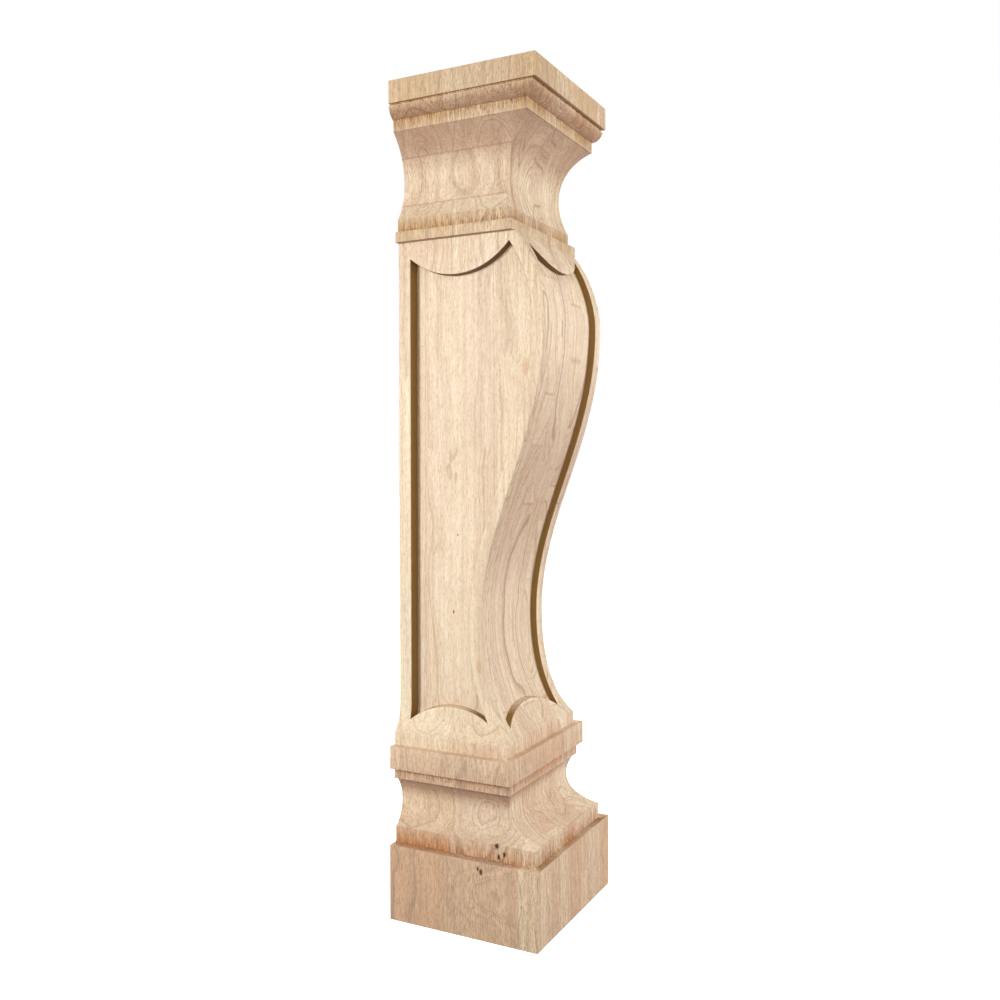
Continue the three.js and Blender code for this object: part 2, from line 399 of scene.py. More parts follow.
def add_sheet(grid, skip=None, **given):
    """Adds quads between the rows and columns of a grid of points."""
    rows, columns = grid.shape[:2]
    start = add_points(grid, given)
    for i in range(rows - 1):
        for j in range(columns - 1):
            if skip is not None and skip[i, j]:
                continue
            corner = start + i * columns + j
            faces.append((corner, corner + 1, corner + columns + 1, corner + columns))


def mirrored(grid):
    return grid * [-1, 1, 1]


def add_both(grid, **given):
    """Adds a sheet on the left and its mirror image on the right."""
    add_sheet(grid, **given)
    add_sheet(mirrored(grid), **given)


print("marks kept for the material:", *point_marks)

# %% [markdown]
# Stations. Seen from above, every level of the leg is a rectangle, so all rows can share one list of
# places round it. A station is such a place. They start at the back corner, pass the side and the near
# corner and end at the middle of the front. Corners get three stations, which round them over, and a
# panel gets as many as its grid has columns, so that the skin meets the edge of its hole point for point.

# %% Stations round one half of the leg
GROUPS = (
    ("back corner", 3), ("back border", 2), ("side panel", SIDE_COLUMNS), ("side front border", 3),
    ("front corner", 3), ("front border", 3), ("front panel", FRONT_COLUMNS // 2),
)
station_group, station_share = ["back corner"], [0.0]
for group, steps in GROUPS:
    station_group += [group] * steps
    station_share += [step / steps for step in range(1, steps + 1)]
station_group, station_share = np.array(station_group), np.array(station_share)
corner_turn = station_share * math.pi / 2
on_corner = np.isin(station_group, ("back corner", "front corner"))
station_edge = on_corner & (station_share > 0) & (station_share < 1)
print(len(station_share), "stations on each half of the leg")

# %% Place the stations of one level, and close them at the back
BACK_PLANED = 0.35
BACK_MARGIN = 1.5


def between(start, end):
    return start + station_share * (end - start)


def half_round(side, front, z):
    """Points of the left half, from a setback of side and front and a height for each station."""
    x, y = LEFT + side, FRONT + front
    back_rim = BACK - SIDE_PANEL["back"] + RIM_EASE
    rim = y + SIDE_PANEL["front"] - RIM_EASE
    turn_in, turn_out = SANDED_EDGE * (1 - np.sin(corner_turn)), SANDED_EDGE * (1 - np.cos(corner_turn))
    here = [station_group == name for name, _ in GROUPS]
    half = panel_half + RIM_EASE
    places_x = [x + turn_in, x, x, x, x + turn_out, between(x + SANDED_EDGE, -half), between(-half, 0)]
    places_y = [
        BACK - turn_out, between(BACK - SANDED_EDGE, back_rim), between(back_rim, rim),
        between(rim, y + SANDED_EDGE), y + turn_in, y, y,
    ]
    places_x = [np.broadcast_to(place, z.shape) for place in places_x]
    places_y = [np.broadcast_to(place, z.shape) for place in places_y]
    return np.stack([np.select(here, places_x), np.select(here, places_y), z], axis=-1)


def level_rows(rows):
    """The half grid of a stack of mouldings."""
    flat = np.ones(len(station_share))
    return np.array([half_round(side * flat, front * flat, z * flat) for side, front, z in rows[:, :3]])


def add_round(grid, planed=0.0, **given):
    """Adds both halves and the back between them, which is planed evenly from foot to cap."""
    add_both(grid, planed=planed, **given)
    edge = grid[:, 0]
    margin = edge + [BACK_MARGIN, 0, 0]
    back = np.stack([edge, margin, mirrored(margin), mirrored(edge)], axis=1)
    evenly = np.full(back.shape[:2], BACK_PLANED)
    evenly[:, [0, -1]] = planed
    add_sheet(back, planed=evenly)


print("back planed by", BACK_PLANED)

# %% [markdown]
# Base and capital. On the real leg the cutter runs each moulding right round the block. Here each row of
# the profile is laid on the stations, and neighbouring rows are joined by quads. The front of the narrow
# ledge on top of the plinth is marked for a painted shade, darkest at the near corner and fading away from
# it.

# %% Base and capital, with the underside and the top of the cap
# Painted shade on the front of the plinth ledge: full near the near corner, fading to the least share.
LEDGE_SHADE_FROM, LEDGE_SHADE_TO, LEDGE_SHADE_LEAST = 10, 55, 0.2
ON_LEDGE = 0.05


def add_lid(half_ring):
    """One flat face across a ring of points."""
    ring = np.vstack([half_ring, mirrored(half_ring)[::-1]])
    start = add_points(ring, {"planed": 1.0})
    faces.append(tuple(range(start, start + len(ring))))


def add_mouldings(rows, end):
    """Adds a stack of mouldings with the painted shade of the ledge marked, and closes it at its first or
    last row.
    """
    grid = level_rows(rows)
    on_ledge = np.abs(rows[:, 2:3] - PLINTH_HEIGHT) < ON_LEDGE
    at_front = np.isin(station_group, ("front border", "front panel"))
    ledge_shading = np.interp(grid[0, :, 0], (LEFT + LEDGE_SHADE_FROM, LEFT + LEDGE_SHADE_TO), (1, LEDGE_SHADE_LEAST))
    softened = np.maximum(rows[:, 4:5], station_edge)
    softened[end] = 0
    add_round(grid, softened=softened, sawn=on_ledge * at_front * ledge_shading, planed=rows[:, 3:4])
    add_lid(grid[end])


add_mouldings(base_rows, 0)
add_mouldings(capital_rows, -1)
print(len(faces), "faces of mouldings")

# %% [markdown]
# The skin of the shaft. Its rows bend: at the foot and the head they are level, and between them they
# follow the tongues and arches of the panels, so that the holes for the panels are whole rows and columns
# of the same grid. Cutting the holes with a boolean would leave long thin faces, which shade badly on a
# curved front.

# %% The skin of the shaft, with a hole for each panel
FOOT_ROWS = np.linspace(0, 1, 9)[:-1]
HEAD_ROWS = np.linspace(0, 1, 8)[1:]

side_z = side_grid(RIM_EASE)[1]
front_z = front_grid(RIM_EASE)[1]
half_count = FRONT_COLUMNS // 2 + 1


def stations_across(panel, border):
    """Numbers of the stations across a panel, from the last station of the border before it."""
    border_end = (station_group == border) & (station_share == 1)
    return np.flatnonzero((station_group == panel) | border_end)


in_side = stations_across("side panel", "back border")
in_front = stations_across("front panel", "front border")


def station_heights(side_row, front_row):
    """Height of a panel's end at every station, level round the back and sloped across the corner."""
    stations = np.concatenate([in_side, in_front])
    heights = np.concatenate([side_row, front_row[:half_count]])
    return np.interp(np.arange(len(station_share)), stations, heights)


panel_foot = station_heights(side_z[0], front_z[0])
panel_top = station_heights(side_z[-1], front_z[-1])
shaft_z = np.vstack([
    shaft_foot + FOOT_ROWS[:, None] * (panel_foot - shaft_foot),
    panel_foot + PANEL_ROWS[:, None] * (panel_top - panel_foot),
    panel_top + HEAD_ROWS[:, None] * (shaft_top - panel_top),
])
shaft_grid = np.array([half_round(side_setback(z), front_setback(z), z) for z in shaft_z])
hole = np.zeros((len(shaft_z) - 1, len(station_share) - 1), bool)
panel_span = slice(len(FOOT_ROWS), len(FOOT_ROWS) + len(PANEL_ROWS) - 1)
hole[panel_span, in_side[0]:in_side[-1]] = True
hole[panel_span, in_front[0]:in_front[-1]] = True
add_round(shaft_grid, softened=station_edge[None, :], skip=hole)
print(len(shaft_z), "rows of shaft")

# %% [markdown]
# Rims, walls and floors of the panels. Going down a panel's edge, the outline first shrinks along a
# quarter circle, which is the softened rim, then drops straight down the wall, and turns out onto the
# floor in a small fillet. The floor of a side panel dips towards its back wall, where the cutter went
# deeper.

# %% Sink the panels
FLOOR_FILLET = 0.6
RIM_STEPS, WALL_STEPS, FILLET_STEPS = 5, 4, 4
BACK_DIP, BACK_DIP_WIDE = 5.5, 24


def edge_path(sunk):
    """Growth of the outline, depth, and shares of softened edge and routed wall, down to the floor."""
    path = []
    for turn in np.linspace(0, math.pi / 2, RIM_STEPS):
        grow, depth = RIM_EASE * (1 - math.sin(turn)), RIM_EASE * (1 - math.cos(turn))
        path.append((grow, depth, math.cos(turn) ** 2, math.sin(turn)))
    for depth in np.linspace(RIM_EASE, sunk - FLOOR_FILLET, WALL_STEPS)[1:]:
        path.append((0, depth, 0, 1))
    for turn in np.linspace(0, math.pi / 2, FILLET_STEPS)[1:]:
        grow, depth = -FLOOR_FILLET * (1 - math.cos(turn)), sunk - FLOOR_FILLET * (1 - math.sin(turn))
        path.append((grow, depth, 0, math.cos(turn)))
    return path


def rim_of(grid):
    """The outer points of a grid, once round."""
    return np.concatenate([grid[0, :-1], grid[:-1, -1], grid[-1, :0:-1], grid[::-1, 0]])


def side_at(grow, depth):
    y, z = side_grid(grow)
    near_back = np.clip(1 - (BACK - SIDE_PANEL["back"] - y) / BACK_DIP_WIDE, 0, 1)
    dip = BACK_DIP * near_back ** 2 * depth / SIDE_PANEL["sunk"]
    return np.stack([LEFT + side_setback(z) + depth + dip, y, z], axis=-1)


def front_at(grow, depth):
    x, z = front_grid(grow)
    return np.stack([x, FRONT + front_setback(z) + depth, z], axis=-1)


def add_panel(place, sunk, add):
    """Adds rim, wall and floor of one panel."""
    path = edge_path(sunk)
    rings = np.array([rim_of(place(grow, depth)) for grow, depth, _, _ in path])
    shares = np.array([(softened, routed) for _, _, softened, routed in path])
    add(rings, softened=shares[:, :1], routed=shares[:, 1:])
    add(place(path[-1][0], path[-1][1]))


add_panel(side_at, SIDE_PANEL["sunk"], add_both)
add_panel(front_at, FRONT_PANEL["sunk"], add_sheet)
print(len(faces), "faces in all")

# %% [markdown]
# One skin. The real leg is one block, so its mesh is one closed skin. Points that lie in the same place
# are welded, and the count of open edges shows at once whether two sheets failed to meet. Smooth shading
# with sharp edges kept by angle leaves the arrises crisp and the hollows round.

# %% Weld the sheets into one closed skin
WELD = 0.002
LITRES = 1000
SMOOTH_BELOW = 32


def welded_mesh(name):
    mesh = bpy.data.meshes.new(name)
    mesh.from_pydata([tuple(point * MM) for point in np.array(points)], [], faces)
    for title, values in point_marks.items():
        mesh.attributes.new(title, "FLOAT", "POINT").data.foreach_set("value", np.array(values, float))
    skin = bmesh.new()
    skin.from_mesh(mesh)
    bmesh.ops.remove_doubles(skin, verts=skin.verts, dist=WELD * MM)
    bmesh.ops.dissolve_degenerate(skin, edges=skin.edges, dist=WELD * MM)
    bmesh.ops.recalc_face_normals(skin, faces=skin.faces)
    open_edges = sum(not edge.is_manifold for edge in skin.edges)
    volume = skin.calc_volume() * LITRES
    skin.to_mesh(mesh)
    skin.free()
    print(name, len(mesh.polygons), "faces,", open_edges, "open edges,", round(volume, 2), "litres")
    return mesh


leg_mesh = welded_mesh("carved_leg")
leg_mesh.shade_smooth()
leg_mesh.set_sharp_from_angle(angle=math.radians(SMOOTH_BELOW))
leg = bpy.data.objects.new("carved_leg", leg_mesh)
bpy.context.scene.collection.objects.link(leg)
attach(leg, "root")
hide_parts("fireplace_corbel")

# %% [markdown]
# The wood. Rubberwood is pale, creamy and dense, with fine dark pores and faint growth rings. A block
# this thick is glued up from boards 28 mm thick, laid like bricks so that no two joints line up, and each
# board is itself made of short pieces that are finger jointed end to end.
#
# The wood is therefore a solid pattern: the colour of a point depends only on where it lies in the block.
# The same rings then show as ovals where a hollow cuts into them, as stripes on the flat sides and as
# dots on the ends, which no picture wrapped round the leg would do.

# %% One function for nodes and one for colours
from functools import partial

# The two colours that a Mix node takes and the one it gives share their names with other sockets
UNDER, OVER, MIXED = 6, 7, 2


def node(tree, kind, *inputs, take=0, sockets=None, **settings):
    """Adds one node with its settings and its inputs, in order or by name, and gives one of its outputs."""
    made = tree.nodes.new("ShaderNode" + kind)
    for name, value in settings.items():
        setattr(made, name, value)
    for key, value in [*enumerate(inputs), *(sockets or {}).items()]:
        if isinstance(value, bpy.types.NodeSocket):
            tree.links.new(value, made.inputs[key])
        elif value is not None:
            made.inputs[key].default_value = value
    return made.outputs[take]


def linear(hex_colour):
    """An sRGB hex colour as linear numbers, with full opacity."""
    parts = [int(hex_colour[start:start + 2], 16) / 255 for start in (1, 3, 5)]
    return [p / 12.92 if p <= 0.04045 else ((p + 0.055) / 1.055) ** 2.4 for p in parts] + [1]


print("cream as linear numbers", [round(part, 3) for part in linear("#EBDFC8")])

# %% [markdown]
# Which board. All patterns ask for the place of a point in the block, in millimetres. Dividing it by the
# thickness and the width of the boards gives the number of the board, and a random number made from that
# gives each board its own tone and its own part of the trunk. The finger joints are a zigzag that is
# added to the height before it is divided by the length of the pieces.

# %% Where a point lies in the block, in millimetres
def place_in_block(add):
    """The place as a vector and as three numbers."""
    metres = add("TexCoord", take="Object")
    place = add("VectorMath", metres, (1 / MM, 1 / MM, 1 / MM), operation="MULTIPLY")
    x = add("SeparateXYZ", place)
    return place, x, x.node.outputs["Y"], x.node.outputs["Z"]


print("a point's place is multiplied by", 1 / MM)

# %% Which board a point lies in
BOARDS_ACROSS = 7
BOARD_THICK = WIDTH / BOARDS_ACROSS
EDGE_CLEAR = 0.01
STRIP_WIDE = 86
STRIP_STAGGER = 39.5
FIRST_JOINT = -65
PIECE_LONG = 440
FINGER_PITCH, FINGER_LONG = 7, 10
BOARD_CHOICE = 123.0


def boards(add, x, y, z):
    """Distances from the joints, three random numbers of the piece, and the middle of its board."""
    from_side = add("Math", x, WIDTH / 2, operation="ADD")
    kept_in = add("Clamp", from_side, EDGE_CLEAR, WIDTH - EDGE_CLEAR)
    layer = add("Math", add("Math", kept_in, BOARD_THICK, operation="DIVIDE"), operation="FLOOR")
    stagger = add("Math", layer, STRIP_STAGGER, operation="MULTIPLY")
    from_joint = add("Math", add("Math", y, -FIRST_JOINT, operation="ADD"), stagger, operation="SUBTRACT")
    strip = add("Math", add("Math", from_joint, STRIP_WIDE, operation="DIVIDE"), operation="FLOOR")
    start = add("TexWhiteNoise", add("CombineXYZ", layer, strip, BOARD_CHOICE), noise_dimensions="3D")
    zigzag = add("Math", y, FINGER_PITCH / 2, operation="PINGPONG")
    fingers = add("Math", zigzag, FINGER_LONG / FINGER_PITCH * 2, z, operation="MULTIPLY_ADD")
    lengthways = add("Math", start, PIECE_LONG, fingers, operation="MULTIPLY_ADD")
    piece = add("Math", add("Math", lengthways, PIECE_LONG, operation="DIVIDE"), operation="FLOOR")
    chosen = add("Math", piece, BOARD_CHOICE, operation="ADD")
    number = add("CombineXYZ", layer, strip, chosen)
    chance = add("TexWhiteNoise", number, take="Color", noise_dimensions="3D")
    middle_x = add("Math", layer, BOARD_THICK, (BOARD_THICK - WIDTH) / 2, operation="MULTIPLY_ADD")
    middle_y = add("Math", strip, STRIP_WIDE, STRIP_WIDE / 2 + FIRST_JOINT, operation="MULTIPLY_ADD")
    return from_side, from_joint, chance, middle_x, add("Math", middle_y, stagger, operation="ADD")


print("boards", round(BOARD_THICK, 1), "by", STRIP_WIDE, "mm, in pieces of", PIECE_LONG, "mm")

# %% [markdown]
# Growth rings. A board that is sawn past the middle of a trunk carries rings whose centre lies outside
# it, on the inner side of the block here. The distance to that centre line, with some wobble, gives the
# ring a point lies in. The centre line leans a little, so the rings run out at the surface in long
# pointed arches. Near the bark pits in the plinth the rings bulge, as they do round a knot that lies
# under the surface.
#
# Each ring darkens slowly and ends at once, so a ring is the part of the distance that is left over after
# the last full ring. Slow noise along the distance makes some rings strong and leaves others out.

# %% Growth rings and fibres
CENTRE_NEAREST, CENTRE_SPREAD = 14, 30
CENTRE_LEAN = 0.035
RING_WIDE = 4.2
TONE_WIDE = 11
WOBBLE = 20
SWELLING = (-98.5, -30.0, 48.0)
SWELLING_REACH, SWELLING_HEIGHT = 46, 22
UNEVEN_RINGS = 3
CENTRE_SWING = 36
OWN_OFFSET, OWN_START = 90, 40
WOBBLE_ACROSS, WOBBLE_LONG = 45, 95
LATE_WOOD = 0.45, 0.92
RING_END = 0.94
STRONG_RINGS = 0.38, 0.66
BROAD_RINGS = 0.36, 0.64


def stretched_noise(add, place, across, lengthways, detail, offset=(0, 0, 0)):
    """Noise drawn out along the grain; sizes in millimetres."""
    scales = 1 / across, 1 / across, 1 / lengthways
    scaled = add("VectorMath", place, scales, offset, operation="MULTIPLY_ADD")
    return add("TexNoise", scaled, sockets={"Scale": 1, "Detail": detail}, noise_dimensions="3D")


def rings(add, place, x, y, z, chance, middle_x, middle_y):
    """Broad tones and ring lines, both from 0 to 1, and an offset for the board's own noise."""
    chance_x = add("SeparateXYZ", chance)
    chance_y, chance_z = chance_x.node.outputs["Y"], chance_x.node.outputs["Z"]
    side = add("Math", middle_x, operation="SIGN")
    away = add("Math", chance_x, CENTRE_SPREAD, CENTRE_NEAREST, operation="MULTIPLY_ADD")
    centre_x = add("Math", middle_x, add("Math", side, away, operation="MULTIPLY"), operation="SUBTRACT")
    shifted = add("Math", chance_y, CENTRE_SWING, middle_y, operation="MULTIPLY_ADD")
    centre_y = add("Math", shifted, CENTRE_SWING / 2, operation="SUBTRACT")
    to_either_side = add("Math", chance_z, 0.5, operation="SUBTRACT")
    lean = add("Math", to_either_side, 2 * CENTRE_LEAN, operation="MULTIPLY")
    above_middle = add("Math", z, HEIGHT / 2, operation="SUBTRACT")
    level_x = add("Math", x, centre_x, operation="SUBTRACT")
    from_x = add("Math", above_middle, CENTRE_LEAN, level_x, operation="MULTIPLY_ADD")
    level_y = add("Math", y, centre_y, operation="SUBTRACT")
    from_y = add("Math", above_middle, lean, level_y, operation="MULTIPLY_ADD")
    distance = add("VectorMath", add("CombineXYZ", from_x, from_y), take="Value", operation="LENGTH")
    board_offset = add("VectorMath", chance, [OWN_OFFSET] * 3, operation="MULTIPLY")
    wobble = stretched_noise(add, place, WOBBLE_ACROSS, WOBBLE_LONG, detail=2, offset=board_offset)
    radius = add("Math", wobble, WOBBLE, distance, operation="MULTIPLY_ADD")
    from_swelling = add("VectorMath", place, SWELLING, take="Value", operation="DISTANCE")
    swelling = add("MapRange", from_swelling, 0, SWELLING_REACH, SWELLING_HEIGHT, 0,
                   interpolation_type="SMOOTHSTEP")
    radius = add("Math", radius, swelling, operation="ADD")
    own_start = add("Math", chance_x, OWN_START, operation="MULTIPLY")
    tone_place = add("Math", radius, 1 / TONE_WIDE, own_start, operation="MULTIPLY_ADD")
    tone = add("TexNoise", sockets={"W": tone_place, "Scale": 1, "Detail": 1.5}, noise_dimensions="1D")
    in_rings = add("Math", radius, RING_WIDE, operation="DIVIDE")
    uneven = add("Math", tone, UNEVEN_RINGS, in_rings, operation="MULTIPLY_ADD")
    part = add("Math", uneven, operation="FRACT")
    late = add("MapRange", part, *LATE_WOOD, interpolation_type="SMOOTHSTEP")
    ended = add("MapRange", part, RING_END, 1, 1, 0)
    strong_place = add("Math", radius, 1 / (2 * RING_WIDE), own_start, operation="MULTIPLY_ADD")
    strong = add("TexNoise", sockets={"W": strong_place, "Scale": 1, "Detail": 0}, noise_dimensions="1D")
    strong = add("MapRange", strong, *STRONG_RINGS)
    swollen = add("Math", swelling, 1 / SWELLING_HEIGHT, operation="MULTIPLY")
    strong = add("Math", strong, swollen, operation="MAXIMUM")
    lines = add("Math", add("Math", late, ended, operation="MULTIPLY"), strong, operation="MULTIPLY")
    return add("MapRange", tone, *BROAD_RINGS), lines, board_offset


print("rings about", RING_WIDE, "mm wide, in tones about", TONE_WIDE, "mm wide")

# %% [markdown]
# The colours. The middle of the leg is creamy. The flat bands towards the two ends, which were planed with
# the boards and not sanded as far as the hollows, are tanner and darker: warm at the foot and golden at the
# cap. That is partly the wood's own tone and partly painted shade, where the light falls off towards the
# top and the foot. What lies on that is kept in two tables, each with a colour and how strongly it is laid
# on. A stain soaks in and darkens any wood by the same share. A coat covers the wood with its own colour.
# Some stains and coats are painted shade and painted highlight.

# %% Colours of the wood
CREAM = linear("#EBDFC8")
ROSE = linear("#E2D0BE")
TAN_FOOT = linear("#CB986B")
TAN_HEAD = linear("#C6A26D")
ROSE_SHARE = 0.72
STAINS = {
    "broad rings": ("#DBC9B5", 0.5),
    "ring lines": ("#AC8D77", 0.75),
    "streaks": ("#DABD9C", 0.6),
    "fibres": ("#C8B3A0", 0.85),
    "pores": ("#A48A73", 0.85),
    "glue": ("#D3BBA2", 0.5),
    # Painted shade on faces that look down, mauve like cross-cut grain.
    "cross-cut and shaded": ("#C3ADA6", 0.8),
}
COATS = {
    # A painted highlight along the softened edges, partly the paler fresh wood of sanding.
    "softened edge highlight": ("#EBDFC8", 0.3),
    # The walls' coat: partly the cutter's scorch, partly painted shade in the recesses.
    "scorched_and_shaded": ("#906C2D", 0.95),
    # Painted shade on walls that look down, under the tongues.
    "underside_shade": ("#5F4330", 0.8),
    # Painted shade on the front of the plinth ledge.
    "sawn": ("#7C6238", 0.9),
    "pit": ("#3A2114", 1.0),
    "speck": ("#8A6244", 1.0),
    "knot": ("#C08C66", 0.4),
}


def covered(add, colour, tint, where, strength=1.0):
    """Lays a tint over a colour, as strongly as the pattern says."""
    amount = add("Math", where, strength, operation="MULTIPLY", use_clamp=True)
    return add("Mix", amount, sockets={UNDER: colour, OVER: tint}, take=MIXED, data_type="RGBA")


def coated(add, colour, name, where):
    tint, strength = COATS[name]
    return covered(add, colour, linear(tint), where, strength)


def stained(add, colour, name, where):
    """Lets a stain soak in."""
    tint, strength = STAINS[name]
    amount = add("Math", where, strength, operation="MULTIPLY", use_clamp=True)
    sockets = {UNDER: colour, OVER: linear(tint)}
    return add("Mix", amount, sockets=sockets, take=MIXED, data_type="RGBA", blend_type="MULTIPLY")


print(len(STAINS), "stains and", len(COATS), "coats")

# %% [markdown]
# Bark pits and knots. The real block has a few dark pits where the bark grew inwards, and small knots.
# Each is a ball round a place on the surface, drawn out along the grain and made ragged by noise, so that
# it stays whole where it crosses an edge.

# %% Bark pits and small knots
MARKS = (
    ((-86.5, -36.4, 96.9), 2.4, "pit"),
    ((-86.5, -38.7, 85.8), 1.8, "pit"),
    ((-86.5, -45.1, 89.0), 1.8, "pit"),
    ((-98.5, -20.2, 74.2), 1.5, "pit"),
    ((-98.5, -23.8, 71.7), 2.0, "pit"),
    ((-84.0, -26.8, 111.2), 1.0, "pit"),
    ((-70.0, -37.3, 819.4), 1.4, "speck"),
    ((-78.0, -36.7, 841.5), 1.1, "speck"),
    ((-69.0, 19.4, 418.8), 0.9, "speck"),
    ((-69.0, 24.7, 335.0), 1.2, "speck"),
    ((-69.0, -64.3, 598.0), 5.0, "knot"),
    ((-77.5, -11.0, 280.0), 4.0, "knot"),
)
MARK_LONG = 1.8
MARK_FADE = 1.7
RAGGED_SCALE = 0.8


def marks(add, place, colour):
    """Lays all pits and knots over a colour. The size of each is its radius across the grain."""
    ragged = add("TexNoise", place, sockets={"Scale": RAGGED_SCALE, "Detail": 1}, noise_dimensions="3D")
    for centre, radius, kind in MARKS:
        away = add("VectorMath", place, centre, operation="SUBTRACT")
        away = add("VectorMath", away, (1, 1, 1 / MARK_LONG), operation="MULTIPLY")
        distance = add("VectorMath", away, take="Value", operation="LENGTH")
        distance = add("Math", ragged, radius, distance, operation="MULTIPLY_ADD")
        inside = add("MapRange", distance, radius, radius * MARK_FADE, 1, 0)
        colour = coated(add, colour, kind, inside)
    return colour


print(len(MARKS), "pits and knots")

# %% [markdown]
# The tone of a board. Rubberwood varies from cream to rosy between boards and within one. Towards the ends
# of the leg the planed bands are tan, partly the wood's own tone and partly painted shade where the light
# falls off, and the hollows between them were sanded back to pale wood. How tan a point is depends on its
# height and on the planed mark of the mesh.

# %% The tone of each piece of board
BOARD_TONE = 0.9
TANNED = 0.85
CLOUD_ACROSS, CLOUD_LONG = 40, 150
END_TAN_FROM, END_TAN_FULL = 210, 295
HOLLOWS_END_TAN = 0.15
CALM_SWING = 0.25
BOARD_HUE = 0.8
ROSY = 0.6, 1.2
TAN_TURNS = HEIGHT / 3, HEIGHT * 3 / 4


def tones(add, place, z, tone, hue):
    """The colour of the piece of board, before any figure, and how far it has the tan of the ends, which is
    partly painted shade.
    """
    clouds = stretched_noise(add, place, CLOUD_ACROSS, CLOUD_LONG, detail=2)
    rosy = add("MapRange", add("Math", hue, BOARD_HUE, clouds, operation="MULTIPLY_ADD"), *ROSY)
    colour = covered(add, CREAM, ROSE, rosy, ROSE_SHARE)
    from_middle = add("Math", add("Math", z, HEIGHT / 2, operation="SUBTRACT"), operation="ABSOLUTE")
    # Tanner towards the ends: partly the wood's own tone, partly painted shade where the light falls off.
    near_end = add("MapRange", from_middle, END_TAN_FROM, END_TAN_FULL)
    planed = add("Attribute", take="Fac", attribute_name="planed")
    planed = add("MapRange", planed, 0, 1, HOLLOWS_END_TAN, 1)
    own_tone = add("Math", add("Math", tone, 0.5, operation="SUBTRACT"), BOARD_TONE, operation="MULTIPLY")
    end_tan = add("Math", near_end, planed, operation="MULTIPLY")
    swing = add("MapRange", end_tan, 0, 1, CALM_SWING, 1)
    own_tone = add("Math", own_tone, swing, operation="MULTIPLY")
    tanned = add("Math", end_tan, TANNED, own_tone, operation="MULTIPLY_ADD")
    tan = covered(add, TAN_FOOT, TAN_HEAD, add("MapRange", z, *TAN_TURNS))
    return covered(add, colour, tan, tanned), end_tan


print("tan from", END_TAN_FROM, "to", END_TAN_FULL, "mm from the middle of the leg")

# %% [markdown]
# Glue lines. A glue line is a tenth of a millimetre wide and shows as a thin darker line. It is drawn
# half a millimetre wide, or it would vanish. The side faces of the block are the faces of the outer
# boards, so no joint between layers may be drawn on them.

# %% Glue lines
GLUE_FROM, GLUE_TO = 0.1, 0.6
OUTER_SKIN = 5


def joints(add, from_side, from_joint, x):
    """Glue lines between layers and between strips, from 0 to 1."""
    layer_joint = add("Math", from_side, BOARD_THICK / 2, operation="PINGPONG")
    strip_joint = add("Math", from_joint, STRIP_WIDE / 2, operation="PINGPONG")
    from_middle = add("Math", x, operation="ABSOLUTE")
    inside = add("Math", from_middle, WIDTH / 2 - OUTER_SKIN, operation="LESS_THAN")
    near_layer = add("MapRange", layer_joint, GLUE_FROM, GLUE_TO, 1, 0)
    near_layer = add("Math", near_layer, inside, operation="MULTIPLY")
    near_strip = add("MapRange", strip_joint, GLUE_FROM, GLUE_TO, 1, 0)
    return add("Math", near_layer, near_strip, operation="MAXIMUM")


print("glue lines", GLUE_TO, "mm from their middle to their edge")

# %% [markdown]
# The figure. On top of the tone come the broad rings, the ring lines, long streaks, fibres and pores, each
# as a stain, because grain darkens tan wood as much as pale wood. The figure is strongest on the tan bands
# towards the ends. Ring lines also show on the front of the S, where the curve cuts them at a slant.
#
# Rubberwood pores are a quarter of a millimetre wide, and its fibres are finer still. Both are drawn a
# millimetre wide and more, or they would vanish at this distance.

# %% The figure of the wood
PORE_ACROSS, PORE_LONG = 1.0, 4.5
FIBRE_ACROSS, FIBRE_LONG = 1.2, 12
STREAK_ACROSS, STREAK_LONG = 5, 220
CALM_FIGURE = 0.4
CALM_GRAIN = 0.3
FRONT_LINES = 0.75
FACING_FRONT = -0.5, -0.9
STREAKS_SHOW = 0.42, 0.66
FIBRES_SHOW = 0.43, 0.63
PORES_SHOW = 0.52, 0.67


def figured(add, place, colour, end_tan, normal_y, broad, lines, offset):
    """The colour with rings, streaks, fibres and pores, and the fibres and pores by themselves."""
    figure = add("MapRange", end_tan, 0, 1, CALM_FIGURE, 1)
    facing_front = add("MapRange", normal_y, *FACING_FRONT, 0, FRONT_LINES)
    slanted = add("Math", figure, facing_front, operation="MAXIMUM")
    colour = stained(add, colour, "broad rings", add("Math", broad, figure, operation="MULTIPLY"))
    colour = stained(add, colour, "ring lines", add("Math", lines, slanted, operation="MULTIPLY"))

    streaks = stretched_noise(add, place, STREAK_ACROSS, STREAK_LONG, detail=3, offset=offset)
    streaks = add("MapRange", streaks, *STREAKS_SHOW)
    colour = stained(add, colour, "streaks", add("Math", streaks, figure, operation="MULTIPLY"))

    fibres = stretched_noise(add, place, FIBRE_ACROSS, FIBRE_LONG, detail=3, offset=offset)
    grain = add("MapRange", end_tan, 0, 1, CALM_GRAIN, 1)
    fibres_shown = add("Math", add("MapRange", fibres, *FIBRES_SHOW), grain, operation="MULTIPLY")
    colour = stained(add, colour, "fibres", fibres_shown)

    pores = stretched_noise(add, place, PORE_ACROSS, PORE_LONG, detail=1, offset=offset)
    pores = add("MapRange", pores, *PORES_SHOW)
    colour = stained(add, colour, "pores", add("Math", pores, grain, operation="MULTIPLY"))
    return colour, fibres, pores


print("pores drawn", PORE_ACROSS, "mm wide and fibres", FIBRE_ACROSS, "mm wide")

# %% [markdown]
# Painted light and shade. Faces that look down get a painted mauve shade, partly the darker cross-cut
# grain. Softened edges get a painted highlight, partly the paler fresh wood that sanding leaves. The walls
# of the panels are painted dark, partly the cutter's scorch and partly painted shade in the recesses:
# darkest where they look down, and pale where they look up, as if lit there. These use the marks of the
# mesh and the direction of the face, so they stay in place whatever the light does.

